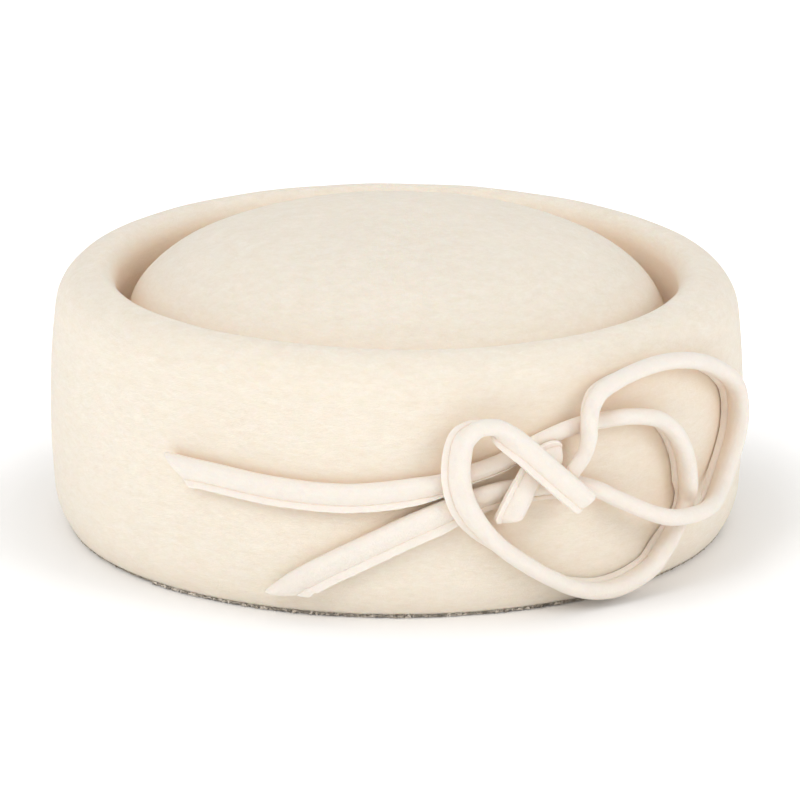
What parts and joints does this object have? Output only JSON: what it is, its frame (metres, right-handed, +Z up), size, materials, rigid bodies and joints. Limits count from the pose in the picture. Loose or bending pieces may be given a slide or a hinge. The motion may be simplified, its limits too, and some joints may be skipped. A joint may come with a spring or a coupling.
{
  "type": "pillbox hat",
  "caption": "Ivory felt pillbox hat with a rounded rim, a sunken groove round a low dome, and a bow of rolled felt strips on its side.",
  "frame": {"origin": "centre of the head opening's oval, at the height of the lower edge that the hat stands on", "axes": "+Z up through the dome, -Y towards the hat's front, +X towards the side that carries the bow"},
  "size_m": [0.19, 0.2134, 0.0823],
  "materials": {
    "crown_felt": "ivory wool felt, matt, with a short nap of fine fibres",
    "strip_felt": "thin ivory wool felt, matt and a little smoother than the crown"
  },
  "bodies": {
    "root": {"felt_crown": "crown_felt", "lower_loop_strip": "strip_felt", "upper_loop_strip": "strip_felt", "knot_strip": "strip_felt"}
  },
  "joints": []
}
